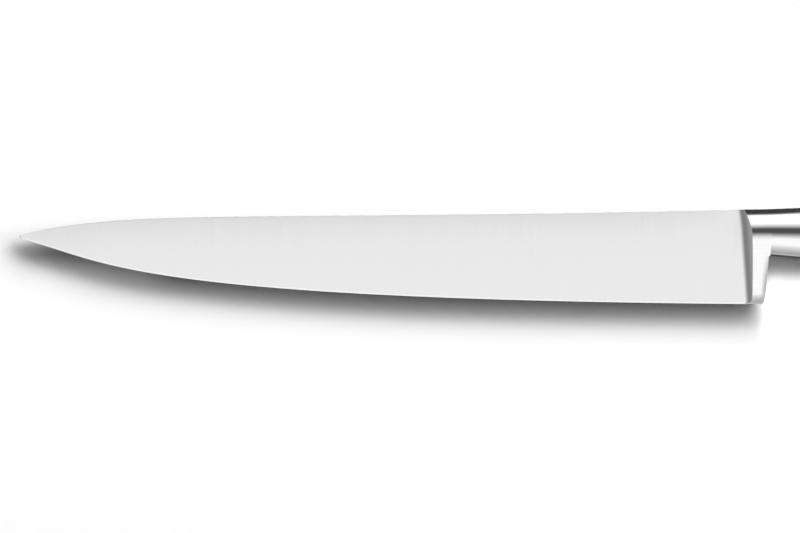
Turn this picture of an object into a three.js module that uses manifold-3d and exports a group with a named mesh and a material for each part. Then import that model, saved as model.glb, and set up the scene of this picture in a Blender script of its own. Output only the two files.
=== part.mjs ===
// Fillet knife lying on its right side: one steel forging that is blade, bolster, neck and full tang, two
// handle scales, and three two-piece rivets. Millimetres, +Z up, +X from the tip to the butt, +Y from the
// edge to the spine. While the pieces are drawn, x = 0 is the bolster's front edge, y = 0 the middle of the
// neck and z = 0 the plane that splits the blade into its left and right halves. The last lines set the
// knife down.
import * as THREE from "three";
import { mergeVertices } from "three/addons/utils/BufferGeometryUtils.js";
import Module from "manifold-3d";

// Blade
const BLADE_LENGTH = 200;
const HEEL_HEIGHT = 25.8;
const SPINE_THICK_HEEL = 2;
const SPINE_THICK_TIP = 0.8;
const BEVEL_HEIGHT = 0.5;
const BEVEL_THICK = 0.36;
const BEVEL_SHARE = 0.3;
const TIP_RADIUS = 0.45;

// The blade's two outlines are Bezier curves from a point just ahead of the tip to the heel. Each control
// point is a share of the blade's length ahead of the bolster and a share of the heel's height below the
// spine.
const TIP_CONTROL = [1.0075, 0.287];
const SPINE_CONTROLS = [[0.8665, -0.02], [0.693, 0.127]];
const EDGE_CONTROLS = [[0.875, 0.545], [0.875, 0.942]];

// Bolster: a steep front face along a straight foot line, with a fillet down to the blade. The face gets
// steeper from the middle of the neck to the spine.
const NECK_HEIGHT = 12.6;
const NECK_THICK = 13.4;
const FRONT_ANGLE = 73;
const FRONT_TWIST = 10;
const TWIST_POWER = 1.5;
const FRONT_FILLET = 2;
const FOOT_AT_SPINE = 2.25;
const FOOT_AT_EDGE = 0.42;
const PLUNGE_START = 2;

// Guard: the part of the bolster that runs down to the heel. Its sides roll over a rim to a flat rear face,
// and lose a share of their thickness on the way.
const GUARD_REAR_TOP = 4.6;
const GUARD_REAR_BOTTOM = 3.5;
const GUARD_THICK = 4.2;
const GUARD_TAPER = 1.25;
const GUARD_RIM = 1.6;
const RIM_DROP_NECK = 0.02;
const RIM_DROP_HEEL = 0.13;
const GUARD_HEEL_ROUND = 3.2;
const GUARD_CORNER = 0.35;
const GUARD_TOE = 0.75;
const GUARD_TOE_RISE = 4;

// Handle, measured from the bolster's front edge; drops and rises are from the neck's top and bottom lines
const HANDLE_LENGTH = 126;
const HANDLE_THICK = 16;
const TANG_THICK = 3.8;
const SCALE_FRONT = 17;
const SWELL_START = 13.2;
const CHEEK_START = 21.5;
const CHEEK_HEIGHT = 7.8;
const NECK_CHEEK = 0.8;
const ARCH_AT = 52;
const ARCH_RISE = 0.9;
const BUTT_DROP = 3.4;
const BELLY_AT = 50;
const BELLY_DROP = 3.4;
const WAIST_AT = 88;
const WAIST_DROP = 2.7;
const BEAK_DROP = 7.4;
const BUTT_TOP_ROUND = 11;
const BUTT_BEAK_ROUND = 5.5;
const BUTT_SIDE_ROUND = 6;
const BUTT_POWER = 2.3;
const CORNER_POWER = 2;

// Rivets: a pin with a head on the left and a socket with a head on the right, pressed together
const RIVET_AT = { front: 37, middle: 68, rear: 99 };
const HEAD_DIAMETER = 6.4;
const HEAD_DEPTH = 2.2;
const SOCKET_DIAMETER = 4.6;
const PIN_DIAMETER = 3;
const PIN_CHAMFER = 0.5;
const SOCKET_FLOOR = 1.2;

// Clearances
const RIVET_CLEARANCE = 0.05;
const END_CLEARANCE = 0.3;
const SCALE_SEAM = 0.05;

// Facets
const BLADE_STEPS = 26;
const TIP_STEPS = 4;
const CORNER_STEPS = 5;
const GUARD_STEPS = 10;
const FRONT_STEPS = 6;
const RIM_STEPS = 3;
const NECK_STEPS = 5;
const SWELL_STEPS = 2;
const HANDLE_STEPS = 14;
const BUTT_STEPS = 8;
const ROUND_STEPS = 28;
const WELD = 1e-4;

const { cos, sin, tan, sqrt, min, max, PI } = Math;
const { clamp, lerp, smoothstep, degToRad } = THREE.MathUtils;

const NECK_TOP = NECK_HEIGHT / 2;
const NECK_BOTTOM = -NECK_TOP;
const HEEL = NECK_TOP - HEEL_HEIGHT;
const HALF_TANG = TANG_THICK / 2;
const HALF_HANDLE = HANDLE_THICK / 2;
const CORNER_X = GUARD_REAR_TOP + GUARD_CORNER;

const wasm = await Module();
wasm.setup();

// Geometry helpers

// A closed geometry from a list of triangles, with shared corners merged and flat triangles dropped.
function weld(triangles) {
  const loose = new THREE.BufferGeometry();
  loose.setAttribute("position", new THREE.Float32BufferAttribute(triangles.flat(2), 3));
  const merged = mergeVertices(loose, WELD);
  const index = [];
  for (let i = 0; i < merged.index.count; i += 3) {
    const [a, b, c] = merged.index.array.subarray(i, i + 3);
    if (a !== b && b !== c && c !== a) index.push(a, b, c);
  }
  merged.setIndex(index);
  return merged;
}

function solidOf(geometry) {
  const mesh = { numProp: 3, vertProperties: geometry.attributes.position.array };
  return new wasm.Manifold(new wasm.Mesh({ ...mesh, triVerts: Uint32Array.from(geometry.index.array) }));
}

function geometryOf(solid) {
  const { vertProperties, triVerts } = solid.getMesh();
  const geometry = new THREE.BufferGeometry();
  geometry.setAttribute("position", new THREE.BufferAttribute(vertProperties, 3));
  geometry.setIndex(new THREE.BufferAttribute(triVerts, 1));
  geometry.computeVertexNormals();
  return geometry;
}

function cut(geometry, tools) {
  return geometryOf(tools.reduce((solid, tool) => solid.subtract(solidOf(tool)), solidOf(geometry)));
}

// The two triangles of each cell in a grid of points. They face up where rows follow each other along +X and
// each row runs from the spine to the edge.
function skin(rows) {
  const triangles = [];
  for (let i = 0; i + 1 < rows.length; i++) {
    const columns = min(rows[i].length, rows[i + 1].length);
    for (let j = 0; j + 1 < columns; j++) {
      const [a, b, c, d] = [rows[i][j], rows[i + 1][j], rows[i + 1][j + 1], rows[i][j + 1]];
      triangles.push([a, d, c], [a, c, b]);
    }
  }
  return triangles;
}

function mirror(triangles) {
  return triangles.map((triangle) => triangle.map(([x, y, z]) => [x, y, -z]).reverse());
}

// A solid of revolution about a line along Z at (x, y), from a profile of [radius, z] points.
function revolve(profile, x, y) {
  const points = profile.map(([radius, z]) => new THREE.Vector2(radius, z));
  const lathe = new THREE.LatheGeometry(points, ROUND_STEPS);
  lathe.deleteAttribute("normal");
  lathe.deleteAttribute("uv");
  lathe.rotateX(PI / 2).translate(x, y, 0);
  const flat = lathe.toNonIndexed().attributes.position;
  const corners = Array.from({ length: flat.count }, (_, i) => [flat.getX(i), flat.getY(i), flat.getZ(i)]);
  const triangles = [];
  for (let i = 0; i < corners.length; i += 3) triangles.push(corners.slice(i, i + 3));
  return weld(triangles);
}

// Height of a curve that runs steadily along X, at x.
function heightAt(curve, x) {
  let [low, high] = [0, 1];
  while (high - low > WELD * WELD) {
    const middle = (low + high) / 2;
    if (curve.getPoint(middle).x < x) low = middle;
    else high = middle;
  }
  return curve.getPoint(low).y;
}

// Blade

function bladePoint([ahead, below]) {
  return new THREE.Vector2(-ahead * BLADE_LENGTH, NECK_TOP - below * HEEL_HEIGHT);
}

function bladeCurve(controls, heelShare) {
  return new THREE.CubicBezierCurve(...[TIP_CONTROL, ...controls, [0, heelShare]].map(bladePoint));
}

const spineCurve = bladeCurve(SPINE_CONTROLS, 0);
const edgeCurve = bladeCurve(EDGE_CONTROLS, 1);

const spineHalf = (x) => lerp(SPINE_THICK_HEEL, SPINE_THICK_TIP, -x / BLADE_LENGTH) / 2;

// Heights of the points across a section at the heel, from the middle of the spine to the edge. They are
// those of the neck's section, then the guard's levels, which crowd at both ends. The last but one is on top
// of the sharpened bevel.
function sectionLevels() {
  const levels = handleRing(0).slice(0, -1).map(([y]) => y);
  const firstStep = 0.5;
  for (let k = 0; k <= GUARD_STEPS; k++) {
    const share = (k + firstStep) / (GUARD_STEPS + firstStep);
    levels.push(lerp(NECK_BOTTOM, HEEL, (1 - cos(PI * share)) / 2));
  }
  levels[levels.length - 2] = HEEL + BEVEL_HEIGHT;
  return levels;
}

// Half the blade's thickness at each level: flat sides from the spine to the bevel, and none at the edge.
function bladeHalves(x, levels) {
  const last = levels.length - 1;
  const flatRun = levels[0] - levels[last - 1];
  return levels.map((y, j) => {
    if (j === 0 || j === last) return 0;
    return lerp(spineHalf(x), BEVEL_THICK / 2, (levels[0] - y) / flatRun);
  });
}

// One section of the blade at x, with the tip's small round.
function bladeRow(x, levels) {
  const middle = (heightAt(spineCurve, x) + heightAt(edgeCurve, x)) / 2;
  const behindTip = min(x + BLADE_LENGTH, TIP_RADIUS);
  const reach = behindTip < TIP_RADIUS ? sqrt(TIP_RADIUS ** 2 - (TIP_RADIUS - behindTip) ** 2) : Infinity;
  const spine = min(heightAt(spineCurve, x), middle + reach);
  const edge = max(heightAt(edgeCurve, x), middle - reach);
  const thin = min(reach / TIP_RADIUS, 1);
  const last = levels.length - 1;
  const shoulder = edge + min(BEVEL_HEIGHT, (spine - edge) * BEVEL_SHARE);
  return bladeHalves(x, levels).map((half, j) => {
    const across = (levels[0] - levels[j]) / (levels[0] - levels[last - 1]);
    return [x, j === last ? edge : lerp(spine, shoulder, across), half * thin];
  });
}

function bladeRows(levels) {
  const rows = [];
  for (let k = 0; k < TIP_STEPS; k++) {
    rows.push(bladeRow(-BLADE_LENGTH + TIP_RADIUS * (1 - cos((k / TIP_STEPS) * (PI / 2))), levels));
  }
  const back = -BLADE_LENGTH + TIP_RADIUS;
  const front = -(FOOT_AT_SPINE + PLUNGE_START * FRONT_FILLET);
  for (let k = 0; k <= BLADE_STEPS; k++) {
    rows.push(bladeRow(lerp(back, front, 1 - cos((k / BLADE_STEPS) * (PI / 2))), levels));
  }
  return rows;
}

// Bolster

const frontAngle = (y) => FRONT_ANGLE + FRONT_TWIST * clamp(y / NECK_TOP, 0, 1) ** TWIST_POWER;

// How far behind the foot line the front face reaches a given rise above the blade, at height y.
function frontReach(y, rise) {
  const slope = degToRad(frontAngle(y));
  const start = -FRONT_FILLET * tan(slope / 2);
  const filletRise = FRONT_FILLET * (1 - cos(slope));
  if (rise < filletRise) return start + sqrt(FRONT_FILLET ** 2 - (FRONT_FILLET - rise) ** 2);
  return start + FRONT_FILLET * sin(slope) + (rise - filletRise) / tan(slope);
}

const footAt = (y) => -lerp(FOOT_AT_EDGE, FOOT_AT_SPINE, (y - HEEL) / HEEL_HEIGHT);

// Half the guard's thickness, which tapers from the neck's cheek and rounds off at the heel.
function guardHalf(y) {
  const start = -NECK_CHEEK / 2;
  const taper = lerp(NECK_THICK, GUARD_THICK, clamp((start - y) / (start - HEEL), 0, 1) ** GUARD_TAPER) / 2;
  const rise = clamp((y - HEEL) / GUARD_HEEL_ROUND, 0, 1);
  return taper * sqrt(1 - (1 - rise) ** 2);
}

// The line of the rear face, with a fillet under the neck and a long round at the toe. Above the neck's
// bottom it is where the neck leaves the guard.
function guardRear(y) {
  const below = NECK_BOTTOM - y;
  const under = clamp(GUARD_CORNER - below, 0, GUARD_CORNER);
  const fillet = GUARD_CORNER - sqrt(GUARD_CORNER ** 2 - under ** 2);
  const intoToe = clamp(1 - (y - HEEL) / GUARD_TOE_RISE, 0, 1);
  const toe = GUARD_TOE * (1 - sqrt(1 - intoToe ** 2));
  return lerp(GUARD_REAR_TOP, GUARD_REAR_BOTTOM, below / (NECK_BOTTOM - HEEL)) + fillet - toe;
}

// Share of the guard's half thickness that its rim loses at height y.
function rimDrop(y) {
  return lerp(RIM_DROP_NECK, RIM_DROP_HEEL, clamp((NECK_BOTTOM - y) / (NECK_BOTTOM - HEEL), 0, 1));
}

// Half thicknesses of the bolster's sides: the neck's section above its cheek, the guard's taper below.
function bolsterHalves(levels) {
  const neck = handleRing(0);
  return levels.map((y, j) => (j <= CORNER_STEPS + 1 ? neck[j][1] : guardHalf(y)));
}

// Rows up the front face, from the blade's flat to the bolster's front edge.
function frontRows(levels) {
  const blade = bladeHalves(0, levels);
  const side = bolsterHalves(levels);
  const rows = [];
  for (let k = 0; k <= FRONT_STEPS; k++) {
    rows.push(
      levels.map((y, j) => {
        const rise = (side[j] - blade[j]) * (k / FRONT_STEPS) ** 2;
        return [footAt(y) + frontReach(y, rise), y, blade[j] + rise];
      }),
    );
  }
  return rows;
}

// Rows over the guard's rim, then across its rear face to the blade's plane. The columns of the neck's lower
// half end in the neck's section, and those of its upper half are in it all the way.
function rearRows(levels) {
  const side = bolsterHalves(levels);
  const corner = handleRing(0).length - 1;
  const rows = [];
  for (let k = 0; k <= RIM_STEPS + 1; k++) {
    const rolled = min(k / RIM_STEPS, 1);
    rows.push(
      levels.map((level, j) => {
        const x = guardRear(level) - GUARD_RIM * (1 - rolled);
        const kept = k > RIM_STEPS ? 0 : 1 - rimDrop(level) * rolled ** 2;
        if (j > corner) return [x, level, side[j] * kept];
        const [y, z] = handleRing(x)[j];
        return j <= CORNER_STEPS + 1 ? [x, y, z] : [x, lerp(y, level, kept), lerp(z, side[j], kept)];
      }),
    );
  }
  return rows;
}

// Rows along the neck. Each column starts at the guard's rear face, and all end at the front of the scales.
function neckRows(levels) {
  const starts = levels.slice(0, handleRing(0).length).map(guardRear);
  const rows = [];
  for (let k = 0; k <= NECK_STEPS; k++) {
    rows.push(
      starts.map((start, j) => {
        const x = lerp(start, SCALE_FRONT, k / NECK_STEPS);
        return [x, ...handleRing(x)[j]];
      }),
    );
  }
  return rows;
}

// Handle

// A line through [x, y] points, as a height at any x between its ends.
function line(points) {
  const curve = new THREE.SplineCurve(points.map(([x, y]) => new THREE.Vector2(x, y)));
  return (x) => heightAt(curve, x);
}

const topLine = line([
  [0, NECK_TOP],
  [ARCH_AT, NECK_TOP + ARCH_RISE],
  [HANDLE_LENGTH, NECK_TOP - BUTT_DROP],
]);
const bottomLine = line([
  [0, NECK_BOTTOM],
  [CORNER_X, NECK_BOTTOM],
  [BELLY_AT, NECK_BOTTOM - BELLY_DROP],
  [WAIST_AT, NECK_BOTTOM - WAIST_DROP],
  [HANDLE_LENGTH, NECK_BOTTOM - BEAK_DROP],
]);
const buttMiddle = (topLine(HANDLE_LENGTH) + bottomLine(HANDLE_LENGTH)) / 2;

// Share of a size that is left at x where it rounds off to nothing over the last run of the handle.
function buttShare(x, run) {
  const into = clamp((x - HANDLE_LENGTH + run) / run, 0, 1);
  return (1 - into ** BUTT_POWER) ** (1 / BUTT_POWER);
}

const handleTop = (x) => lerp(buttMiddle, topLine(x), buttShare(x, BUTT_TOP_ROUND));
const handleBottom = (x) => lerp(buttMiddle, bottomLine(x), buttShare(x, BUTT_BEAK_ROUND));
const swell = (x) => smoothstep(x, SWELL_START, CHEEK_START);

function handleHalf(x) {
  return lerp(HALF_TANG, lerp(NECK_THICK, HANDLE_THICK, swell(x)) / 2, buttShare(x, BUTT_SIDE_ROUND));
}

// A point on the round corner between the top or bottom line and the flat cheek.
function cornerPoint(outline, cheek, half, share) {
  const power = 2 / CORNER_POWER;
  const angle = share * (PI / 2);
  return [lerp(cheek, outline, cos(angle) ** power), lerp(HALF_TANG, half, sin(angle) ** power)];
}

// Half a section of the handle at x as [y, z], from the middle of its top line, round the cheek, to the
// middle of its bottom line.
function handleRing(x) {
  const [top, bottom, half] = [handleTop(x), handleBottom(x), handleHalf(x)];
  const middle = (top + bottom) / 2;
  const cheek = (lerp(NECK_CHEEK, CHEEK_HEIGHT, swell(x)) / 2) * buttShare(x, BUTT_TOP_ROUND);
  const shares = Array.from({ length: CORNER_STEPS + 1 }, (_, k) => k / CORNER_STEPS);
  const upper = shares.map((share) => cornerPoint(top, middle + cheek, half, share));
  const lower = shares.map((share) => cornerPoint(bottom, middle - cheek, half, share)).reverse();
  return [[top, 0], ...upper, ...lower, [bottom, 0]];
}

// Half a section of the tang: its top edge, its flat side and its bottom edge.
function tangRing(x) {
  const [top, bottom] = [handleTop(x), handleBottom(x)];
  const count = handleRing(x).length;
  const faceSteps = count - 3;
  const face = Array.from({ length: faceSteps + 1 }, (_, k) => [lerp(top, bottom, k / faceSteps), HALF_TANG]);
  return [[top, 0], ...face, [bottom, 0]];
}

// Stations along the scales, close together where the butt rounds off.
function handleStations() {
  const buttStart = HANDLE_LENGTH - BUTT_TOP_ROUND;
  const stations = [];
  for (let k = 0; k < SWELL_STEPS; k++) stations.push(lerp(SCALE_FRONT, CHEEK_START, k / SWELL_STEPS));
  for (let k = 0; k < HANDLE_STEPS; k++) stations.push(lerp(CHEEK_START, buttStart, k / HANDLE_STEPS));
  for (let k = 0; k <= BUTT_STEPS; k++) {
    stations.push(lerp(buttStart, HANDLE_LENGTH, sin((k / BUTT_STEPS) * (PI / 2))));
  }
  return stations;
}

const rowOf = (x, ring) => ring.map(([y, z]) => [x, y, z]);
const rivetLevel = (x) => (handleTop(x) + handleBottom(x)) / 2;

// Pieces

// Blade, bolster, guard, neck and tang in one skin, mirrored about the blade's plane, with holes for the
// rivets.
function forgingGeometry() {
  const levels = sectionLevels();
  const ahead = [...bladeRows(levels), ...frontRows(levels), ...rearRows(levels)];
  const tang = handleStations().map((x) => rowOf(x, tangRing(x)));
  const half = [...skin(ahead), ...skin([...neckRows(levels), ...tang])];
  const radius = SOCKET_DIAMETER / 2 + RIVET_CLEARANCE;
  const holes = Object.values(RIVET_AT).map((x) => {
    const profile = [[0, -TANG_THICK], [radius, -TANG_THICK], [radius, TANG_THICK], [0, TANG_THICK]];
    return revolve(profile, x, rivetLevel(x));
  });
  return cut(weld([...half, ...mirror(half)]), holes);
}

// One scale: the handle's section outside the tang, with a stepped hole for each rivet. Side is 1 or -1.
function scaleGeometry(side) {
  const stations = handleStations();
  stations[0] = SCALE_FRONT + SCALE_SEAM;
  const rows = stations.map((x) => rowOf(x, handleRing(x).slice(1, -1)));
  const closed = rows.map((row) => [...row, row[0]]);
  const front = rows[0];
  const cap = front.slice(1, -1).map((point, k) => [front[0], front[k + 2], point]);
  const shell = [...skin(closed), ...cap];
  const blank = weld(side > 0 ? shell : mirror(shell));
  return cut(blank, Object.values(RIVET_AT).map((x) => rivetSeat(side, x)));
}

// The space a rivet needs in one scale: a hole for the socket's tube and a counterbore for a head.
function rivetSeat(side, x) {
  const tube = SOCKET_DIAMETER / 2 + RIVET_CLEARANCE;
  const head = HEAD_DIAMETER / 2 + RIVET_CLEARANCE;
  const floor = HALF_HANDLE - HEAD_DEPTH;
  const profile = [[0, 0], [tube, 0], [tube, floor], [head, floor], [head, HANDLE_THICK], [0, HANDLE_THICK]];
  const seat = side > 0 ? profile : profile.map(([radius, z]) => [radius, -z]).reverse();
  return revolve(seat, x, rivetLevel(x));
}

function pinGeometry(x) {
  const [pin, head] = [PIN_DIAMETER / 2, HEAD_DIAMETER / 2];
  const tip = -HALF_HANDLE + HEAD_DEPTH + SOCKET_FLOOR + END_CLEARANCE;
  const under = HALF_HANDLE - HEAD_DEPTH;
  const nose = [[0, tip], [pin - PIN_CHAMFER, tip], [pin, tip + PIN_CHAMFER]];
  const profile = [...nose, [pin, under], [head, under], [head, HALF_HANDLE], [0, HALF_HANDLE]];
  return revolve(profile, x, rivetLevel(x));
}

function socketGeometry(x) {
  const [tube, head] = [SOCKET_DIAMETER / 2, HEAD_DIAMETER / 2];
  const bore = PIN_DIAMETER / 2 + RIVET_CLEARANCE;
  const over = -HALF_HANDLE + HEAD_DEPTH;
  const mouth = HALF_HANDLE - HEAD_DEPTH - END_CLEARANCE;
  const outside = [[0, -HALF_HANDLE], [head, -HALF_HANDLE], [head, over], [tube, over], [tube, mouth]];
  const inside = [[bore, mouth], [bore, over + SOCKET_FLOOR], [0, over + SOCKET_FLOOR]];
  return revolve([...outside, ...inside], x, rivetLevel(x));
}

// Assembly

const bladeSteel = new THREE.MeshStandardMaterial({ color: 0xd2d3d4, metalness: 1, roughness: 0.3 });
const handleBlack = new THREE.MeshStandardMaterial({ color: 0x17171a, metalness: 0, roughness: 0.42 });
const rivetSteel = new THREE.MeshStandardMaterial({ color: 0xc6c7c9, metalness: 1, roughness: 0.25 });

function piece(name, geometry, material) {
  const mesh = new THREE.Mesh(geometry, material);
  mesh.name = name;
  return mesh;
}

const knife = new THREE.Group();
knife.add(piece("blade_forging", forgingGeometry(), bladeSteel));
knife.add(piece("left_scale", scaleGeometry(1), handleBlack));
knife.add(piece("right_scale", scaleGeometry(-1), handleBlack));
for (const [place, x] of Object.entries(RIVET_AT)) {
  knife.add(piece(`${place}_rivet_pin`, pinGeometry(x), rivetSteel));
  knife.add(piece(`${place}_rivet_socket`, socketGeometry(x), rivetSteel));
}

// The knife rests on its right cheek, with the middle of its outline over the origin.
const box = new THREE.Box3().setFromObject(knife);
const centre = box.getCenter(new THREE.Vector3());
knife.position.set(-centre.x, -centre.y, -box.min.z);

const part = new THREE.Group();
part.add(knife);

export default part;
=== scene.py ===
import math

import bpy
import numpy as np
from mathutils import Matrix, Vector


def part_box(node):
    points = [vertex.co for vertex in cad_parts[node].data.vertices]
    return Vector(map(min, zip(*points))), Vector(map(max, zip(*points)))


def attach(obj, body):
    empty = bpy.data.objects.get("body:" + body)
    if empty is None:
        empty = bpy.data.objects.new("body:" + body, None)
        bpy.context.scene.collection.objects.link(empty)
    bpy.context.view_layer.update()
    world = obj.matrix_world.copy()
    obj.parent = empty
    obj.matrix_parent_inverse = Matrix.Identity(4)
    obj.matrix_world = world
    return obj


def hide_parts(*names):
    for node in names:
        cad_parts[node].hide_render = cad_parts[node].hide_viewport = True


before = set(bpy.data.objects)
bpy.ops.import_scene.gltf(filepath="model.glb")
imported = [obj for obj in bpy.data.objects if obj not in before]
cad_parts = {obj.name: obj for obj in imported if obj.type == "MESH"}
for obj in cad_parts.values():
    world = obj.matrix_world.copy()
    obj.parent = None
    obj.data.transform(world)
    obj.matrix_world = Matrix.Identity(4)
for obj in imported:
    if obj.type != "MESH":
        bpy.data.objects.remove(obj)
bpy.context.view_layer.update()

# Driving sizes of the knife in millimetres and degrees. The solids have the same, apart from the two eases.
# While pieces are drawn, x = 0 is the bolster's front edge, y = 0 the middle of the neck and z = 0 the plane
# that splits the blade in half.
MM = 0.001

BLADE_LENGTH = 200
HEEL_HEIGHT = 25.8
SPINE_THICK_HEEL = 2
SPINE_THICK_TIP = 0.8
SPINE_EASE = 0.05
BEVEL_HEIGHT = 0.5
BEVEL_THICK = 0.36
BEVEL_SHARE = 0.3
TIP_RADIUS = 0.45
TIP_CONTROL = (1.0075, 0.287)
SPINE_CONTROLS = ((0.8665, -0.02), (0.693, 0.127))
EDGE_CONTROLS = ((0.875, 0.545), (0.875, 0.942))

NECK_HEIGHT = 12.6
NECK_THICK = 13.4
FRONT_ANGLE = 73
FRONT_TWIST = 10
TWIST_POWER = 1.5
FRONT_FILLET = 2
FOOT_AT_SPINE = 2.25
FOOT_AT_EDGE = 0.42
PLUNGE_START = 2

GUARD_REAR_TOP = 4.6
GUARD_REAR_BOTTOM = 3.5
GUARD_THICK = 4.2
GUARD_TAPER = 1.25
GUARD_RIM = 1.6
RIM_DROP_NECK = 0.02
RIM_DROP_HEEL = 0.13
GUARD_HEEL_ROUND = 3.2
GUARD_CORNER = 0.35
GUARD_TOE = 0.75
GUARD_TOE_RISE = 4

HANDLE_LENGTH = 126
HANDLE_THICK = 16
TANG_THICK = 3.8
SCALE_FRONT = 17
SCALE_SEAM = 0.05
SWELL_START = 13.2
CHEEK_START = 21.5
CHEEK_HEIGHT = 7.8
NECK_CHEEK = 0.8
ARCH_AT = 52
ARCH_RISE = 0.9
BUTT_DROP = 3.4
BELLY_AT = 50
BELLY_DROP = 3.4
WAIST_AT = 88
WAIST_DROP = 2.7
BEAK_DROP = 7.4
BUTT_TOP_ROUND = 11
BUTT_BEAK_ROUND = 5.5
BUTT_SIDE_ROUND = 6
BUTT_POWER = 2.3

RIVET_AT = {"front": 37, "middle": 68, "rear": 99}
HEAD_DIAMETER = 6.4
HEAD_DEPTH = 2.2
HEAD_EASE = 0.12
SOCKET_DIAMETER = 4.6
PIN_DIAMETER = 3
PIN_CHAMFER = 0.5
SOCKET_FLOOR = 1.2
RIVET_CLEARANCE = 0.05
END_CLEARANCE = 0.3

# Facets
BLADE_STEPS = 150
TIP_STEPS = 10
CORNER_STEPS = 16
GUARD_STEPS = 24
FRONT_STEPS = 18
SIDE_STEPS = 3
RIM_STEPS = 8
FACE_STEPS = 10
NECK_STEPS = 24
SWELL_STEPS = 10
HANDLE_STEPS = 70
BUTT_STEPS = 24
ROUND_STEPS = 96
EASE_STEPS = 4
CURVE_SAMPLES = 4000
WELD = 1e-4
SHARP_ANGLE = 28

NECK_TOP = NECK_HEIGHT / 2
NECK_BOTTOM = -NECK_TOP
HEEL = NECK_TOP - HEEL_HEIGHT
HALF_TANG = TANG_THICK / 2
HALF_HANDLE = HANDLE_THICK / 2
CORNER_X = GUARD_REAR_TOP + GUARD_CORNER

# The solids say where the drawing's zero lies in the shared frame.
forging_low, forging_high = (np.array(corner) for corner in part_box("blade_forging"))
ORIGIN = np.array([
    forging_low[0] + BLADE_LENGTH * MM,
    forging_low[1] - HEEL * MM,
    (forging_low[2] + forging_high[2]) / 2,
])


# Curves

def lerp(a, b, share):
    return a + (b - a) * share


def smoothstep(x, low, high):
    share = np.clip((x - low) / (high - low), 0, 1)
    return share * share * (3 - 2 * share)


def height_line(points):
    """A curve that runs steadily along X, as a function from x to y."""
    points = np.array(points)
    return lambda x: np.interp(x, points[:, 0], points[:, 1])


def bezier(controls):
    t = np.linspace(0, 1, CURVE_SAMPLES)[:, None]
    a, b, c, d = (np.array(p) for p in controls)
    return (1 - t) ** 3 * a + 3 * (1 - t) ** 2 * t * b + 3 * (1 - t) * t ** 2 * c + t ** 3 * d


def spline(points):
    """A smooth curve through the points, each span with the slope of the chord between its neighbours."""
    points = [np.array(p, float) for p in points]
    t = np.linspace(0, 1, CURVE_SAMPLES // (len(points) - 1))[:, None]
    spans = []
    for i in range(len(points) - 1):
        before, start, end = points[max(i - 1, 0)], points[i], points[i + 1]
        after = points[min(i + 2, len(points) - 1)]
        leave, arrive = (end - before) / 2, (after - start) / 2
        cubic = 2 * start - 2 * end + leave + arrive
        square = -3 * start + 3 * end - 2 * leave - arrive
        spans.append(cubic * t ** 3 + square * t ** 2 + leave * t + start)
    return np.concatenate(spans)


def blade_outline(controls, heel_share):
    points = [TIP_CONTROL, *controls, (0, heel_share)]
    return height_line(bezier([(-a * BLADE_LENGTH, NECK_TOP - b * HEEL_HEIGHT) for a, b in points]))


spine_line = blade_outline(SPINE_CONTROLS, 0)
edge_line = blade_outline(EDGE_CONTROLS, 1)
top_line = height_line(spline([
    (0, NECK_TOP),
    (ARCH_AT, NECK_TOP + ARCH_RISE),
    (HANDLE_LENGTH, NECK_TOP - BUTT_DROP),
]))
bottom_line = height_line(spline([
    (0, NECK_BOTTOM),
    (CORNER_X, NECK_BOTTOM),
    (BELLY_AT, NECK_BOTTOM - BELLY_DROP),
    (WAIST_AT, NECK_BOTTOM - WAIST_DROP),
    (HANDLE_LENGTH, NECK_BOTTOM - BEAK_DROP),
]))
BUTT_MIDDLE = (top_line(HANDLE_LENGTH) + bottom_line(HANDLE_LENGTH)) / 2


# Handle sections

def butt_share(x, run):
    """Share of a size that is left at x where it rounds off to nothing over the last run of the handle."""
    into = np.clip((x - HANDLE_LENGTH + run) / run, 0, 1)
    return (1 - into ** BUTT_POWER) ** (1 / BUTT_POWER)


def handle_top(x):
    return lerp(BUTT_MIDDLE, top_line(x), butt_share(x, BUTT_TOP_ROUND))


def handle_bottom(x):
    return lerp(BUTT_MIDDLE, bottom_line(x), butt_share(x, BUTT_BEAK_ROUND))


def handle_ring(x):
    """Half a section of the handle: rows of y and z from the top line round the cheek to the bottom line."""
    top, bottom = handle_top(x), handle_bottom(x)
    swell = smoothstep(x, SWELL_START, CHEEK_START)
    half = lerp(HALF_TANG, lerp(NECK_THICK, HANDLE_THICK, swell) / 2, butt_share(x, BUTT_SIDE_ROUND))
    cheek = lerp(NECK_CHEEK, CHEEK_HEIGHT, swell) / 2 * butt_share(x, BUTT_TOP_ROUND)
    middle = (top + bottom) / 2
    angle = np.linspace(0, math.pi / 2, CORNER_STEPS + 1)
    out = lerp(HALF_TANG, half, np.sin(angle))
    upper = np.column_stack([lerp(middle + cheek, top, np.cos(angle)), out])
    lower = np.column_stack([lerp(middle - cheek, bottom, np.cos(angle)), out])[::-1]
    return np.vstack([[top, 0], upper, lower, [bottom, 0]])


def tang_ring(x):
    """Half a section of the tang, with as many points as the handle's."""
    top, bottom = handle_top(x), handle_bottom(x)
    face = np.linspace(top, bottom, 2 * CORNER_STEPS + 2)
    return np.vstack([[top, 0], np.column_stack([face, np.full_like(face, HALF_TANG)]), [bottom, 0]])


def handle_stations():
    butt_start = HANDLE_LENGTH - BUTT_TOP_ROUND
    turn = np.sin(np.linspace(0, math.pi / 2, BUTT_STEPS + 1))
    return np.concatenate([
        np.linspace(SCALE_FRONT, CHEEK_START, SWELL_STEPS, endpoint=False),
        np.linspace(CHEEK_START, butt_start, HANDLE_STEPS, endpoint=False),
        lerp(butt_start, HANDLE_LENGTH, turn),
    ])


def row_of(x, ring):
    return np.column_stack([np.full(len(ring), x), ring])


def rivet_level(x):
    return (handle_top(x) + handle_bottom(x)) / 2


# Blade and bolster sections

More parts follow.
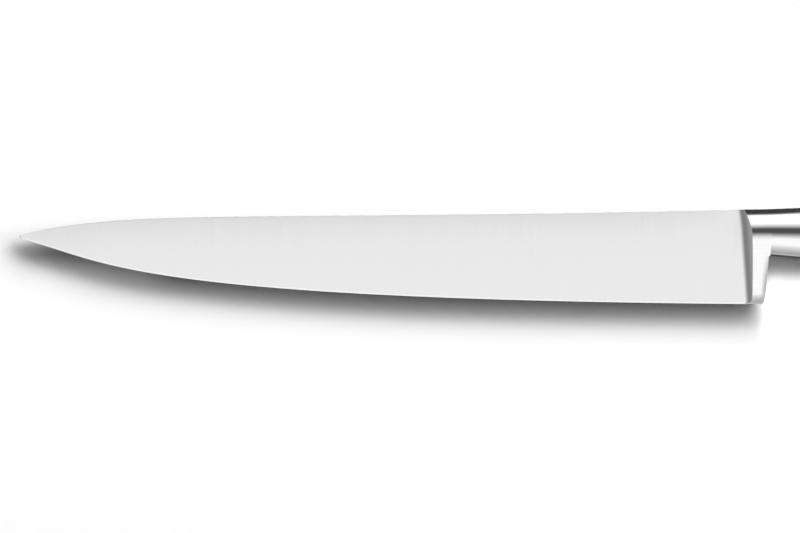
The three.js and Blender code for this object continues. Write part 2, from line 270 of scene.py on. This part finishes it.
def section_levels():
    """Heights across a section at the heel, from the spine to the edge: the neck's, then the guard's."""
    first_step = 0.5
    share = (np.arange(GUARD_STEPS + 1) + first_step) / (GUARD_STEPS + first_step)
    guard = lerp(NECK_BOTTOM, HEEL, (1 - np.cos(math.pi * share)) / 2)
    guard = guard[guard > HEEL + BEVEL_HEIGHT]
    return np.concatenate([handle_ring(0)[:-1, 0], guard, [HEEL + BEVEL_HEIGHT, HEEL]])


# Columns of a section. ACROSS is each one's share of the way from the spine to the bevel, UPPER counts those
# above the middle of the neck, and CORNER is the one where the neck meets the guard.
LEVELS = section_levels()
ACROSS = (LEVELS[0] - LEVELS) / (LEVELS[0] - LEVELS[-2])
UPPER = CORNER_STEPS + 2
CORNER = 2 * CORNER_STEPS + 3


def blade_halves(x, height):
    """Half the blade's thickness across a section: eased spine, flat sides, none at the edge."""
    spine = lerp(SPINE_THICK_HEEL, SPINE_THICK_TIP, -x / BLADE_LENGTH) / 2
    below = np.clip(ACROSS * height, 0, SPINE_EASE)
    ease = SPINE_EASE - np.sqrt(SPINE_EASE ** 2 - (SPINE_EASE - below) ** 2)
    halves = lerp(spine, BEVEL_THICK / 2, ACROSS) - ease
    halves[[0, -1]] = 0
    return halves


def blade_row(x):
    middle = (spine_line(x) + edge_line(x)) / 2
    behind = x + BLADE_LENGTH
    reach = math.inf
    if behind < TIP_RADIUS:
        reach = math.sqrt(TIP_RADIUS ** 2 - (TIP_RADIUS - behind) ** 2)
    spine = min(spine_line(x), middle + reach)
    edge = max(edge_line(x), middle - reach)
    shoulder = edge + min(BEVEL_HEIGHT, (spine - edge) * BEVEL_SHARE)
    y = lerp(spine, shoulder, ACROSS)
    y[-1] = edge
    halves = np.maximum(blade_halves(x, spine - shoulder), 0)
    return np.column_stack([np.full(len(y), x), y, halves * min(reach / TIP_RADIUS, 1)])


def blade_rows():
    tip = TIP_RADIUS * (1 - np.cos(np.linspace(0, math.pi / 2, TIP_STEPS, endpoint=False)))
    front = -(FOOT_AT_SPINE + PLUNGE_START * FRONT_FILLET)
    along = 1 - np.cos(np.linspace(0, math.pi / 2, BLADE_STEPS + 1))
    stations = np.concatenate([tip - BLADE_LENGTH, lerp(TIP_RADIUS - BLADE_LENGTH, front, along)])
    return np.array([blade_row(x) for x in stations])


def front_reach(y, rise):
    """How far behind the foot line the front face reaches a given rise above the blade, at height y."""
    slope = np.radians(FRONT_ANGLE + FRONT_TWIST * np.clip(y / NECK_TOP, 0, 1) ** TWIST_POWER)
    start = -FRONT_FILLET * np.tan(slope / 2)
    fillet_rise = FRONT_FILLET * (1 - np.cos(slope))
    arc = start + np.sqrt(FRONT_FILLET ** 2 - (FRONT_FILLET - np.minimum(rise, fillet_rise)) ** 2)
    return arc + np.maximum(rise - fillet_rise, 0) / np.tan(slope)


def guard_half(y):
    start = -NECK_CHEEK / 2
    share = np.clip((start - y) / (start - HEEL), 0, 1) ** GUARD_TAPER
    rise = np.clip((y - HEEL) / GUARD_HEEL_ROUND, 0, 1)
    return lerp(NECK_THICK, GUARD_THICK, share) / 2 * np.sqrt(1 - (1 - rise) ** 2)


def guard_rear(y):
    under = np.clip(GUARD_CORNER - (NECK_BOTTOM - y), 0, GUARD_CORNER)
    into_toe = np.clip(1 - (y - HEEL) / GUARD_TOE_RISE, 0, 1)
    fillet = GUARD_CORNER - np.sqrt(GUARD_CORNER ** 2 - under ** 2)
    toe = GUARD_TOE * (1 - np.sqrt(1 - into_toe ** 2))
    return lerp(GUARD_REAR_TOP, GUARD_REAR_BOTTOM, (NECK_BOTTOM - y) / (NECK_BOTTOM - HEEL)) + fillet - toe


def bolster_halves():
    halves = guard_half(LEVELS)
    halves[:UPPER] = handle_ring(0)[:UPPER, 1]
    return halves


def front_rows():
    blade, side = blade_halves(0, HEEL_HEIGHT - BEVEL_HEIGHT), bolster_halves()
    foot = -lerp(FOOT_AT_EDGE, FOOT_AT_SPINE, (LEVELS - HEEL) / HEEL_HEIGHT)
    rows = []
    for share in np.linspace(0, 1, FRONT_STEPS + 1) ** 2:
        rise = (side - blade) * share
        rows.append(np.column_stack([foot + front_reach(LEVELS, rise), LEVELS, blade + rise]))
    return np.array(rows)


def neck_row(stations):
    """Points of the handle's section, each column at its own station along X."""
    return np.array([(x, *handle_ring(x)[j]) for j, x in enumerate(stations)])


def rear_rows():
    """Rows over the guard's rolled rim, then across its rear face until the neck's section is left."""
    side, rear = bolster_halves(), guard_rear(LEVELS)
    below = np.clip((NECK_BOTTOM - LEVELS) / (NECK_BOTTOM - HEEL), 0, 1)
    drop = lerp(RIM_DROP_NECK, RIM_DROP_HEEL, below)
    rim = [(rolled, 1) for rolled in np.linspace(0, 1, RIM_STEPS + 1)]
    face = [(1, share) for share in np.linspace(1, 0, FACE_STEPS + 1)[1:]]
    rows = []
    for rolled, share in rim + face:
        kept = (1 - drop * rolled ** 2) * share
        row = np.column_stack([rear - GUARD_RIM * (1 - rolled), LEVELS, side * kept])
        neck = neck_row(row[:CORNER + 1, 0])
        lower = slice(UPPER, CORNER + 1)
        row[:UPPER] = neck[:UPPER]
        row[lower, 1] = lerp(neck[lower, 1], LEVELS[lower], kept[lower])
        row[lower, 2] = lerp(neck[lower, 2], side[lower], kept[lower])
        rows.append(row)
    return np.array(rows)


def neck_rows():
    start = guard_rear(LEVELS[:CORNER + 1])
    shares = np.linspace(0, 1, NECK_STEPS + 1)
    return np.array([neck_row(lerp(start, SCALE_FRONT, share)) for share in shares])


# Meshes

def finish_mesh(name, points, faces, face_slots, materials):
    """An object from drawing points in millimetres, with equal points merged and flat faces left out."""
    keys = np.round(points / WELD).astype(np.int64)
    _, first, index = np.unique(keys, axis=0, return_index=True, return_inverse=True)
    index = index.reshape(-1)
    polygons, slots = [], []
    for face, face_slot in zip(index[faces], face_slots):
        ring = list(dict.fromkeys(face.tolist()))
        if len(ring) > 2:
            polygons.append(ring)
            slots.append(face_slot)
    mesh = bpy.data.meshes.new(name)
    mesh.from_pydata((points[first] * MM + ORIGIN).tolist(), [], polygons)
    for material in materials:
        mesh.materials.append(material)
    mesh.polygons.foreach_set("material_index", slots)
    mesh.update()
    piece = bpy.data.objects.new(name, mesh)
    bpy.context.scene.collection.objects.link(piece)
    return piece


def grid_faces(rows, columns, start=0):
    """Faces of a grid of points that face up where rows follow +X and each row runs from spine to edge."""
    i, j = np.meshgrid(np.arange(rows - 1), np.arange(columns - 1), indexing="ij")
    a = (i * columns + j + start).reshape(-1)
    return np.column_stack([a, a + 1, a + columns + 1, a + columns])


def shade(piece):
    piece.data.shade_smooth()
    piece.data.set_sharp_from_angle(angle=math.radians(SHARP_ANGLE))


def cut(piece, tools):
    """Cuts closed tools out of a piece, and removes the tools."""
    for tool in tools:
        modifier = piece.modifiers.new("cut", "BOOLEAN")
        modifier.object = tool
        modifier.operation = "DIFFERENCE"
        modifier.solver = "EXACT"
    graph = bpy.context.evaluated_depsgraph_get()
    mesh = bpy.data.meshes.new_from_object(piece.evaluated_get(graph))
    piece.modifiers.clear()
    piece.data = mesh
    for tool in tools:
        bpy.data.objects.remove(tool)


def revolve(name, profile, x, y, materials=()):
    """A solid turned about a line along Z, from a profile of radius and z that starts and ends on it."""
    profile = np.array(profile, float)
    angle = np.linspace(0, 2 * math.pi, ROUND_STEPS + 1)
    radius, z = profile[None, :, 0], profile[None, :, 1]
    points = np.stack([
        x + radius * np.cos(angle)[:, None],
        y + radius * np.sin(angle)[:, None],
        np.broadcast_to(z, (len(angle), len(profile))),
    ], axis=-1)
    points[-1] = points[0]
    faces = grid_faces(len(angle), len(profile))[:, ::-1]
    return finish_mesh(name, points.reshape(-1, 3), faces, [0] * len(faces), materials)


# Materials

def new_material(name):
    material = bpy.data.materials.new(name)
    material.use_nodes = True
    return material, material.node_tree, material.node_tree.nodes["Principled BSDF"]


def add(tree, kind, links=(), **values):
    """A node with its sockets set by name, or linked from (socket, name) pairs."""
    node = tree.nodes.new(kind)
    for key, value in values.items():
        if hasattr(node, key):
            setattr(node, key, value)
        else:
            node.inputs[key.replace("_", " ")].default_value = value
    for source, key in links:
        tree.links.new(source, node.inputs[key])
    return node


def coordinates(tree, kind):
    """X, Y and Z of the shaded point, as separate sockets."""
    place = add(tree, "ShaderNodeTexCoord")
    return add(tree, "ShaderNodeSeparateXYZ", [(place.outputs[kind], "Vector")]).outputs


def combined(tree, operation, first, second):
    return add(tree, "ShaderNodeMath", [(first, 0), (second, 1)], operation=operation).outputs[0]


def streaks(tree, lines, detail):
    """Noise drawn out into fine lines: lines is how many of them a metre holds along X, Y and Z."""
    place = add(tree, "ShaderNodeTexCoord")
    stretch = add(tree, "ShaderNodeMapping", [(place.outputs["Object"], "Vector")], Scale=lines)
    stretched = [(stretch.outputs["Vector"], "Vector")]
    return add(tree, "ShaderNodeTexNoise", stretched, Scale=1, Detail=detail).outputs["Fac"]


def ranged(tree, noise, low, high):
    """A value from low to high as noise goes through the middle half of its range."""
    node = add(tree, "ShaderNodeMapRange", [(noise, "Value")], From_Min=0.25, From_Max=0.75)
    node.inputs["To Min"].default_value = low
    node.inputs["To Max"].default_value = high
    return node.outputs["Result"]


def ramp(tree, source, stops):
    """A value that follows stops, pairs of the source's value and the result. Past the ends it is level."""
    low, high = stops[0][0], stops[-1][0]
    share = add(tree, "ShaderNodeMapRange", [(source, "Value")], From_Min=low, From_Max=high)
    node = add(tree, "ShaderNodeValToRGB", [(share.outputs["Result"], "Fac")])
    elements = node.color_ramp.elements
    for place, _ in stops[1:-1]:
        elements.new((place - low) / (high - low))
    for (_, value), element in zip(stops, sorted(elements, key=lambda e: e.position)):
        element.color = (value, value, value, 1)
    return node.outputs["Color"]


def tinted(tree, noise, dark, light):
    mix = add(tree, "ShaderNodeMix", data_type="RGBA")
    factor, first, second = mix.inputs[0], mix.inputs[6], mix.inputs[7]
    tree.links.new(ranged(tree, noise, 0, 1), factor)
    first.default_value = (*dark, 1)
    second.default_value = (*light, 1)
    return mix.outputs[2]


def bumped(tree, bsdf, noise, depth):
    bump = add(tree, "ShaderNodeBump", [(noise, "Height")], Distance=depth)
    tree.links.new(bump.outputs["Normal"], bsdf.inputs["Normal"])


def ground_steel(name, lines, detail, dark, light, roughness, depth):
    """Steel with fine lines of a depth in metres, along which its colour and roughness vary."""
    material, tree, bsdf = new_material(name)
    scratches = streaks(tree, lines, detail)
    bsdf.inputs["Metallic"].default_value = 1
    tree.links.new(tinted(tree, scratches, dark, light), bsdf.inputs["Base Color"])
    tree.links.new(ranged(tree, scratches, *roughness), bsdf.inputs["Roughness"])
    bumped(tree, bsdf, scratches, depth)
    return material


def satin_steel():
    """The blade's sides: fine grinding lines from spine to edge."""
    return ground_steel(
        "satin_steel",
        lines=(5200, 26, 26),
        detail=4,
        dark=(0.845, 0.845, 0.85),
        light=(0.905, 0.905, 0.91),
        roughness=(0.34, 0.46),
        depth=2e-6,
    )


def polished_steel():
    """Bolster, guard, neck and the edges of the tang: buffed bright with a trace of fine scratches."""
    return ground_steel(
        "polished_steel",
        lines=(60, 2600, 2600),
        detail=3,
        dark=(0.87, 0.87, 0.875),
        light=(0.92, 0.92, 0.92),
        roughness=(0.09, 0.17),
        depth=5e-7,
    )


def honed_steel():
    """The sharpened bevel."""
    return ground_steel(
        "honed_steel",
        lines=(9000, 300, 300),
        detail=3,
        dark=(0.88, 0.88, 0.885),
        light=(0.95, 0.95, 0.95),
        roughness=(0.22, 0.36),
        depth=1e-6,
    )


def rivet_steel():
    """The rivet heads, ground flush together with the scales."""
    return ground_steel(
        "rivet_steel",
        lines=(140, 5200, 5200),
        detail=3,
        dark=(0.74, 0.74, 0.745),
        light=(0.84, 0.84, 0.845),
        roughness=(0.18, 0.34),
        depth=2e-6,
    )


def black_plastic():
    """The scales: dense black plastic, moulded and belt-finished along the handle."""
    material, tree, bsdf = new_material("black_plastic")
    grain = streaks(tree, lines=(900, 4200, 4200), detail=4)
    cloud = streaks(tree, lines=(45, 120, 120), detail=3)
    colour = tinted(tree, grain, dark=(0.011, 0.011, 0.012), light=(0.024, 0.024, 0.026))
    tree.links.new(colour, bsdf.inputs["Base Color"])
    tree.links.new(ranged(tree, cloud, low=0.34, high=0.48), bsdf.inputs["Roughness"])
    bumped(tree, bsdf, grain, depth=1.2e-5)
    return material


# Pieces

def show(piece, node):
    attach(piece, "root")
    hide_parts(node)


def make_forging(materials):
    """Blade, bolster, guard, neck and tang: half a skin and its mirror image, with the rivet holes."""
    blade, front, rear = blade_rows(), front_rows(), rear_rows()
    sides = np.array([lerp(front[-1], rear[0], share) for share in np.linspace(0, 1, SIDE_STEPS + 1)[1:-1]])
    ahead = np.concatenate([blade, front, sides, rear])
    tang = np.array([row_of(x, tang_ring(x)) for x in handle_stations()])
    behind = np.concatenate([neck_rows(), tang])
    satin, polish, honed = range(3)
    slots = np.full((len(ahead) - 1, len(LEVELS) - 1), polish)
    slots[:len(blade) + FRONT_STEPS] = satin
    slots[:len(blade), -1] = honed
    first = grid_faces(len(ahead), len(LEVELS))
    second = grid_faces(len(behind), behind.shape[1], ahead.shape[0] * ahead.shape[1])
    points = np.concatenate([ahead.reshape(-1, 3), behind.reshape(-1, 3)])
    faces = np.concatenate([first, second])
    slots = np.concatenate([slots.reshape(-1), np.full(len(second), polish)])
    mirrored = faces[:, ::-1] + len(points)
    piece = finish_mesh(
        "forging",
        np.concatenate([points, points * (1, 1, -1)]),
        np.concatenate([faces, mirrored]),
        np.concatenate([slots, slots]),
        materials,
    )
    radius = SOCKET_DIAMETER / 2 + RIVET_CLEARANCE
    profile = [(0, -TANG_THICK), (radius, -TANG_THICK), (radius, TANG_THICK), (0, TANG_THICK)]
    cut(piece, [revolve("drill", profile, x, rivet_level(x)) for x in RIVET_AT.values()])
    shade(piece)
    show(piece, "blade_forging")


def make_scale(name, side, material):
    """One scale: the handle's section outside the tang, with a stepped hole for each rivet."""
    stations = handle_stations()
    stations[0] += SCALE_SEAM
    rows = np.array([row_of(x, handle_ring(x)[1:-1]) for x in stations])
    rows = np.concatenate([rows, rows[:, :1]], axis=1)
    columns = rows.shape[1]
    middle = rows[0, :-1].mean(axis=0)
    points = np.concatenate([rows.reshape(-1, 3), [middle]])
    cap = np.array([(j + 1, j, len(points) - 1, len(points) - 1) for j in range(columns - 1)])
    faces = np.concatenate([grid_faces(len(rows), columns), cap])
    if side < 0:
        points = points * (1, 1, -1)
        faces = faces[:, ::-1]
    piece = finish_mesh(name, points, faces, [0] * len(faces), [material])
    cut(piece, [rivet_seat(side, x) for x in RIVET_AT.values()])
    shade(piece)
    show(piece, name)


def rivet_seat(side, x):
    tube = SOCKET_DIAMETER / 2 + RIVET_CLEARANCE
    head = HEAD_DIAMETER / 2 + RIVET_CLEARANCE
    floor = HALF_HANDLE - HEAD_DEPTH
    profile = [(0, 0), (tube, 0), (tube, floor), (head, floor), (head, HANDLE_THICK), (0, HANDLE_THICK)]
    if side < 0:
        profile = [(radius, -z) for radius, z in reversed(profile)]
    return revolve("seat", profile, x, rivet_level(x))


def rivet_head(side):
    """Profile of a head from its rim's underside to the middle of its outer face, with an eased rim."""
    radius = HEAD_DIAMETER / 2
    angle = np.linspace(0, math.pi / 2, EASE_STEPS + 1)
    rim_radius = radius - HEAD_EASE * (1 - np.cos(angle))
    rim_z = HALF_HANDLE - HEAD_EASE * (1 - np.sin(angle))
    profile = [(radius, HALF_HANDLE - HEAD_DEPTH), *zip(rim_radius, rim_z), (0, HALF_HANDLE)]
    if side > 0:
        return profile
    return [(r, -z) for r, z in reversed(profile)]


def make_rivet(place, x, material):
    pin, tube = PIN_DIAMETER / 2, SOCKET_DIAMETER / 2
    bore = pin + RIVET_CLEARANCE
    under = HALF_HANDLE - HEAD_DEPTH
    tip = SOCKET_FLOOR + END_CLEARANCE - under
    mouth = under - END_CLEARANCE
    stud = [(0, tip), (pin - PIN_CHAMFER, tip), (pin, tip + PIN_CHAMFER), (pin, under), *rivet_head(1)]
    tube_wall = [(tube, -under), (tube, mouth), (bore, mouth), (bore, SOCKET_FLOOR - under)]
    socket = [*rivet_head(-1), *tube_wall, (0, SOCKET_FLOOR - under)]
    for kind, profile in (("pin", stud), ("socket", socket)):
        name = f"{place}_rivet_{kind}"
        piece = revolve(name, profile, x, rivet_level(x), [material])
        shade(piece)
        show(piece, name)


# Stage

def placed(stops, axis):
    """Stops along one axis of the drawing, moved into the shared frame."""
    return [(place * MM + ORIGIN[axis], value) for place, value in stops]


def show_mix(tree, share, first, second):
    """Makes a material a mix of two shaders."""
    mix = add(tree, "ShaderNodeMixShader", [(share, 0), (first, 1), (second, 2)])
    tree.links.new(mix.outputs["Shader"], tree.nodes["Material Output"].inputs["Surface"])


def make_floor():
    """White paper. To reflections it is bright in front of the knife, and behind it except near the neck."""
    half = 3
    white = (0.97, 0.97, 0.97, 1)
    front_glow = ((-66.08, 0.4), (-26.08, 0.55), (-18.08, 0.06), (13.92, 0.05))
    rear_glow = ((4.92, 0), (9.92, 1))
    off_neck = ((-11, 0.85), (-5.08, 0), (16.75, 0), (26, 0.85))
    mesh = bpy.data.meshes.new("floor")
    corners = [(-half, -half, 0), (half, -half, 0), (half, half, 0), (-half, half, 0)]
    mesh.from_pydata(corners, [], [(0, 1, 2, 3)])
    floor = bpy.data.objects.new("floor", mesh)
    bpy.context.scene.collection.objects.link(floor)
    material, tree, bsdf = new_material("floor")
    tree.nodes.remove(bsdf)
    point = coordinates(tree, "Object")
    front = ramp(tree, point["Y"], placed(front_glow, 1))
    rear = ramp(tree, point["Y"], placed(rear_glow, 1))
    rear = combined(tree, "MULTIPLY", rear, ramp(tree, point["X"], placed(off_neck, 0)))
    glow = add(tree, "ShaderNodeEmission", [(combined(tree, "MAXIMUM", front, rear), "Strength")])
    paper = add(tree, "ShaderNodeBsdfDiffuse", Color=white)
    path = add(tree, "ShaderNodeLightPath")
    show_mix(tree, path.outputs["Is Glossy Ray"], paper.outputs["BSDF"], glow.outputs["Emission"])
    mesh.materials.append(material)


def make_world():
    """White to the camera. Metal sees a bright room, darker past the tip and butt and low on both sides."""
    fill = 0.06
    ends = ((0, 1.17), (0.15, 1.14), (0.6, 0.535), (1, 0.1))
    across = ((-1, 0.45), (-0.7, 0.94), (-0.2, 0.94), (0, 1), (0.988, 1), (1, 0.08))
    world = bpy.data.worlds.new("studio")
    world.use_nodes = True
    tree = world.node_tree
    bpy.context.scene.world = world
    toward = coordinates(tree, "Generated")
    endwise = add(tree, "ShaderNodeMath", [(toward["X"], 0)], operation="ABSOLUTE").outputs[0]
    room = combined(tree, "MULTIPLY", ramp(tree, endwise, ends), ramp(tree, toward["Y"], across))
    path = add(tree, "ShaderNodeLightPath").outputs
    lit = add(tree, "ShaderNodeMix", [(path["Is Glossy Ray"], 0), (room, 3)], data_type="FLOAT")
    lit.inputs[2].default_value = fill
    shown = add(tree, "ShaderNodeMix", [(path["Is Camera Ray"], 0), (lit.outputs[0], 2)], data_type="FLOAT")
    shown.inputs[3].default_value = 1
    background = tree.nodes["Background"]
    background.inputs["Color"].default_value = (1, 1, 1, 1)
    tree.links.new(shown.outputs[0], background.inputs["Strength"])


def make_lamp(name, azimuth, elevation, distance, size, power):
    """A soft box that points at the knife, with sizes in metres and azimuth measured from +X towards +Y."""
    lamp = bpy.data.lights.new(name, "AREA")
    lamp.shape = "RECTANGLE"
    lamp.size, lamp.size_y = size
    lamp.energy = power
    box = bpy.data.objects.new(name, lamp)
    turn, rise = math.radians(azimuth), math.radians(elevation)
    toward = Vector((math.cos(rise) * math.cos(turn), math.cos(rise) * math.sin(turn), math.sin(rise)))
    box.location = toward * distance
    box.rotation_euler = toward.to_track_quat("Z", "Y").to_euler()
    box.visible_glossy = False
    bpy.context.scene.collection.objects.link(box)


def make_beam(name, place, size, spread, power):
    """A soft strip of light straight down on the floor, with its place and size in millimetres."""
    lamp = bpy.data.lights.new(name, "AREA")
    lamp.shape = "RECTANGLE"
    lamp.size, lamp.size_y = np.array(size) * MM
    lamp.spread = math.radians(spread)
    lamp.energy = power
    lamp.use_shadow = False
    beam = bpy.data.objects.new(name, lamp)
    beam.location = np.array(place) * MM + ORIGIN
    beam.visible_glossy = False
    bpy.context.scene.collection.objects.link(beam)


def make_lights():
    """Two soft boxes, and weak beams that lighten the shadow under the tip and under the neck and handle."""
    make_lamp("key", azimuth=58, elevation=44.8, distance=6, size=(5.4, 3.07), power=345)
    make_lamp("side", azimuth=24, elevation=47.2, distance=6, size=(5.25, 1.5), power=234.5)
    make_beam("tip_fill", place=(-179.4, -10.7, 300), size=(34, 6), spread=1.8, power=0.00005)
    make_beam("strip", place=(66, -19.8, 300), size=(124, 16), spread=1.2, power=0.004)


def make_sheet(name, first, second):
    """A strip between two lines of points, in millimetres of the drawing, that the camera doesn't see."""
    points = np.concatenate([first, second]) * MM + ORIGIN
    mesh = bpy.data.meshes.new(name)
    faces = [(i, i + 1, len(first) + i + 1, len(first) + i) for i in range(len(first) - 1)]
    mesh.from_pydata(points.tolist(), [], faces)
    sheet = bpy.data.objects.new(name, mesh)
    bpy.context.scene.collection.objects.link(sheet)
    sheet.visible_camera = False
    sheet.visible_diffuse = False
    sheet.visible_transmission = False
    return sheet


def line_at(stations, line, z):
    """Points over a curve of the outline, in a plane at z."""
    return np.column_stack([stations, line(stations), np.full(len(stations), z)])


def make_card(name, first, second, along, across):
    """A dark sheet that only reflections see, with stops of how dense it is along X and along Y."""
    grey = 0.08
    card = make_sheet(name, first, second)
    card.visible_shadow = False
    material, tree, bsdf = new_material(name)
    tree.nodes.remove(bsdf)
    point = coordinates(tree, "Object")
    lengthwise = ramp(tree, point["X"], placed(along, 0))
    crosswise = ramp(tree, point["Y"], placed(across, 1))
    density = combined(tree, "MULTIPLY", lengthwise, crosswise)
    clear = add(tree, "ShaderNodeBsdfTransparent")
    dark = add(tree, "ShaderNodeEmission", Strength=grey)
    show_mix(tree, density, clear.outputs["BSDF"], dark.outputs["Emission"])
    card.data.materials.append(material)


def make_cards():
    """Cards over the knife: the neck's has soft sides and a soft rear end, the spine's is even."""
    neck_z = 12
    neck_along = ((-1.6, 0), (-0.88, 1), (17.6, 1), (46.4, 0))
    neck_across = ((-3.6, 0), (0, 1), (1.91, 1), (5.9, 0))
    front, rear = neck_along[0][0], neck_along[-1][0]
    low, high = neck_across[0][0], neck_across[-1][0]
    lower = [(front, low, neck_z), (rear, low, neck_z)]
    upper = [(front, high, neck_z), (rear, high, neck_z)]
    make_card("neck_card", lower, upper, neck_along, neck_across)
    spine_start, spine_end, spine_steps = -240, -8, 60
    spine_z = 19
    spine_gap = 3.6
    spine_width = 40
    even = ((0, 0.92), (1, 0.92))
    full = ((0, 1), (1, 1))
    stations = np.linspace(spine_start, spine_end, spine_steps)
    inner = line_at(stations, spine_line, spine_z) + (0, spine_gap, 0)
    make_card("spine_card", inner, inner + (0, spine_width, 0), even, full)


def make_flag(name, first, second):
    """A sheet that only keeps lamp light off the floor."""
    flag = make_sheet(name, first, second)
    flag.visible_glossy = False


def make_flags():
    """Flags that deepen the shadow of the tip, the edge, the guard and its toe."""
    tip_end, tip_z, tip_steps = -180, -3.6, 20
    stations = np.linspace(-BLADE_LENGTH, tip_end, tip_steps)
    make_flag("tip_flag", line_at(stations, spine_line, tip_z), line_at(stations, edge_line, tip_z))
    edge_start, edge_full, edge_end, edge_steps = -150, -80, 3, 30
    edge_width = 0.65
    stations = np.linspace(edge_start, edge_end, edge_steps)
    edge = line_at(stations, edge_line, 0)
    width = edge_width * smoothstep(stations, edge_start, edge_full)
    make_flag("edge_flag", edge, edge - np.outer(width, (0, 1, 0)))
    guard = np.array([(1.5, -20.2, 0), (3, -15, 0)])
    guard_length = 5.5
    make_flag("guard_flag", guard, guard + (guard_length, 0, 0))
    toe = np.array([(0.2, -19.4, -5), (0.6, -15.5, -5)])
    toe_length = 3
    make_flag("toe_flag", toe, toe + (toe_length, 0, 0))


def make_camera():
    """Straight down on the blade, as the photograph looks: one millimetre is 3.66 of its 800 pixels."""
    pixels_per_mm = 3.66
    image_width = 800
    centre = np.array((-96.04, -9.23, 0.0))
    distance = 3.0
    camera = bpy.data.cameras.new("camera")
    camera.sensor_width = 36
    camera.lens = camera.sensor_width * distance / (image_width / pixels_per_mm * MM)
    camera_object = bpy.data.objects.new("camera", camera)
    camera_object.location = centre * MM + ORIGIN + (0, 0, distance)
    bpy.context.scene.collection.objects.link(camera_object)
    bpy.context.scene.camera = camera_object


def main():
    bpy.context.scene.view_settings.view_transform = "Standard"
    make_camera()
    make_world()
    make_floor()
    make_lights()
    make_cards()
    make_flags()
    make_forging([satin_steel(), polished_steel(), honed_steel()])
    black = black_plastic()
    make_scale("left_scale", 1, black)
    make_scale("right_scale", -1, black)
    bright = rivet_steel()
    for place, x in RIVET_AT.items():
        make_rivet(place, x, bright)


main()
